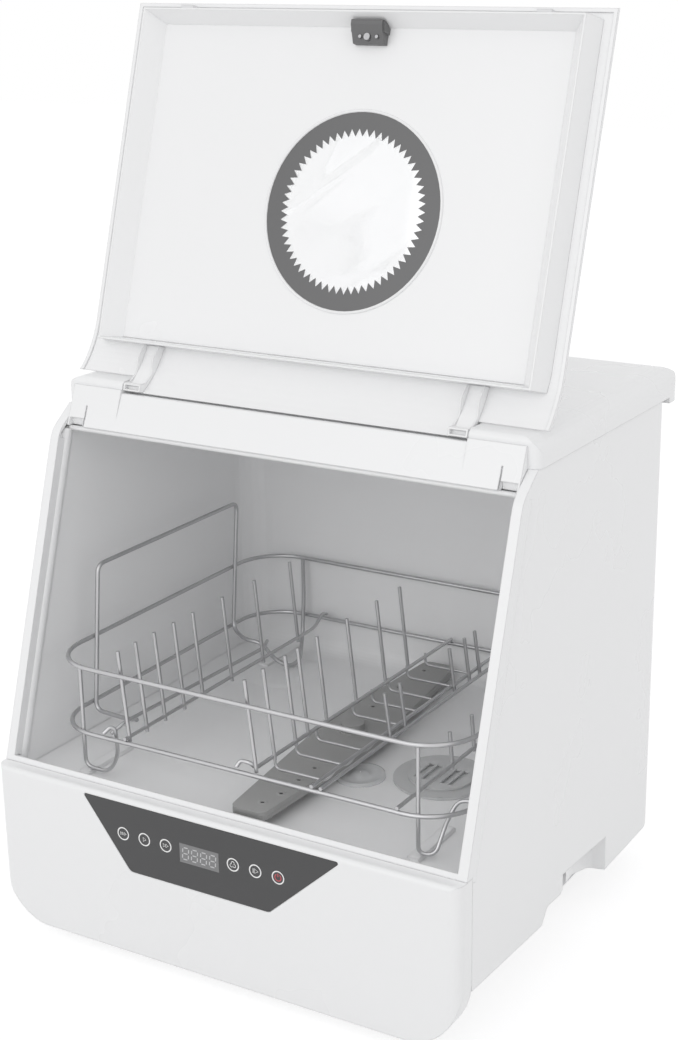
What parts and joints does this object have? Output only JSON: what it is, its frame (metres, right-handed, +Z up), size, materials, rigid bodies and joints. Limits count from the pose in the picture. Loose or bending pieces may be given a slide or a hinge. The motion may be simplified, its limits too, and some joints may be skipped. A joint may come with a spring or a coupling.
{
  "type": "countertop dishwasher",
  "caption": "White countertop dishwasher with a sloping front, a flip-up lid with a round window, a wire rack over a spray arm, and a dark control panel.",
  "frame": {"origin": "on the ground, in the middle of the overall width and depth", "axes": "+Z up, +Y towards the back, +X to the right as seen from the front"},
  "size_m": [0.421, 0.386, 0.7214],
  "materials": {
    "white_casing": "glossy white moulded plastic",
    "white_lid": "glossy white moulded plastic",
    "tub_grey": "satin pale grey moulded plastic",
    "pan_grey": "matt pale grey plastic",
    "panel_dark": "smooth dark grey printed overlay",
    "display_glass": "dark tinted window with four lit digits behind it",
    "clear_window": "clear window pane",
    "grey_print": "grey print with a toothed inner edge",
    "dark_fitting": "dark grey moulded plastic",
    "rubber_black": "black rubber",
    "seal_grey": "soft grey silicone",
    "steel_wire": "bright steel wire",
    "steel_part": "plain steel",
    "spray_grey": "satin grey plastic",
    "clear_cup": "pale translucent plastic",
    "board_green": "green circuit board",
    "hose_black": "black rubber hose"
  },
  "bodies": {
    "cabinet": {"casing": "white_casing", "front_fascia": "white_casing", "top_cover": "white_casing", "tub": "tub_grey", "tub_seal": "seal_grey", "base_pan": "pan_grey", "rubber_feet": "rubber_black", "rear_panel": "pan_grey", "control_panel": "panel_dark", "display_window": "display_glass", "display_board": "board_green", "door_switch": "dark_fitting", "latch_strike": "dark_fitting", "sump": "dark_fitting", "spray_post": "spray_grey", "wash_pump": "dark_fitting", "drain_pump": "dark_fitting", "water_heater": "steel_part", "inlet_valve": "pan_grey", "level_sensor": "pan_grey", "main_board": "board_green", "board_box": "pan_grey", "wash_hose": "hose_black", "spray_hose": "hose_black", "inlet_hose": "hose_black", "drain_hose": "hose_black", "sump_drain_hose": "hose_black", "heater_hose": "hose_black", "inlet_fitting": "dark_fitting", "drain_fitting": "dark_fitting", "power_inlet": "dark_fitting", "base_screws": "steel_part", "rear_screws": "steel_part", "filter_plate": "clear_cup"},
    "lid": {"lid_shell": "white_lid", "lid_tray": "white_lid", "hinge_arms": "white_lid", "window_outer_pane": "clear_window", "window_inner_pane": "clear_window", "window_mask": "grey_print", "lid_latch": "dark_fitting", "latch_screw": "steel_part", "latch_pins": "steel_part", "lid_bumpers": "seal_grey"},
    "spray_arm": {"spray_arm_lower": "spray_grey", "spray_arm_upper": "spray_grey", "spray_arm_cap": "spray_grey"},
    "rack": {"rack_frame": "steel_wire", "rack_bars": "steel_wire", "rack_left_tines": "steel_wire", "rack_middle_tines": "steel_wire", "rack_cutlery_tines": "steel_wire", "rack_cross_wires": "steel_wire", "rack_handle": "steel_wire", "rack_feet": "steel_wire"},
    "filter": {"filter_cup": "clear_cup", "filter_grid": "clear_cup"}
  },
  "joints": [
    {"name": "lid_hinge", "type": "hinge", "parent": "cabinet", "child": "lid", "pos_m": [0, -0.07446, 0.43219], "axis": [1, 0, 0], "range_deg": [0, 180]},
    {"name": "spray_arm_spin", "type": "hinge", "parent": "cabinet", "child": "spray_arm", "pos_m": [0.012, -0.008, 0.145], "axis": [0, 0, 1], "continuous": true},
    {"name": "rack_lift_out", "type": "slide", "parent": "cabinet", "child": "rack", "axis": [0, -0.8886, 0.4586], "range_m": [0, 0.42]},
    {"name": "filter_lift_out", "type": "slide", "parent": "cabinet", "child": "filter", "axis": [0, 0, 1], "range_m": [0, 0.06]}
  ]
}
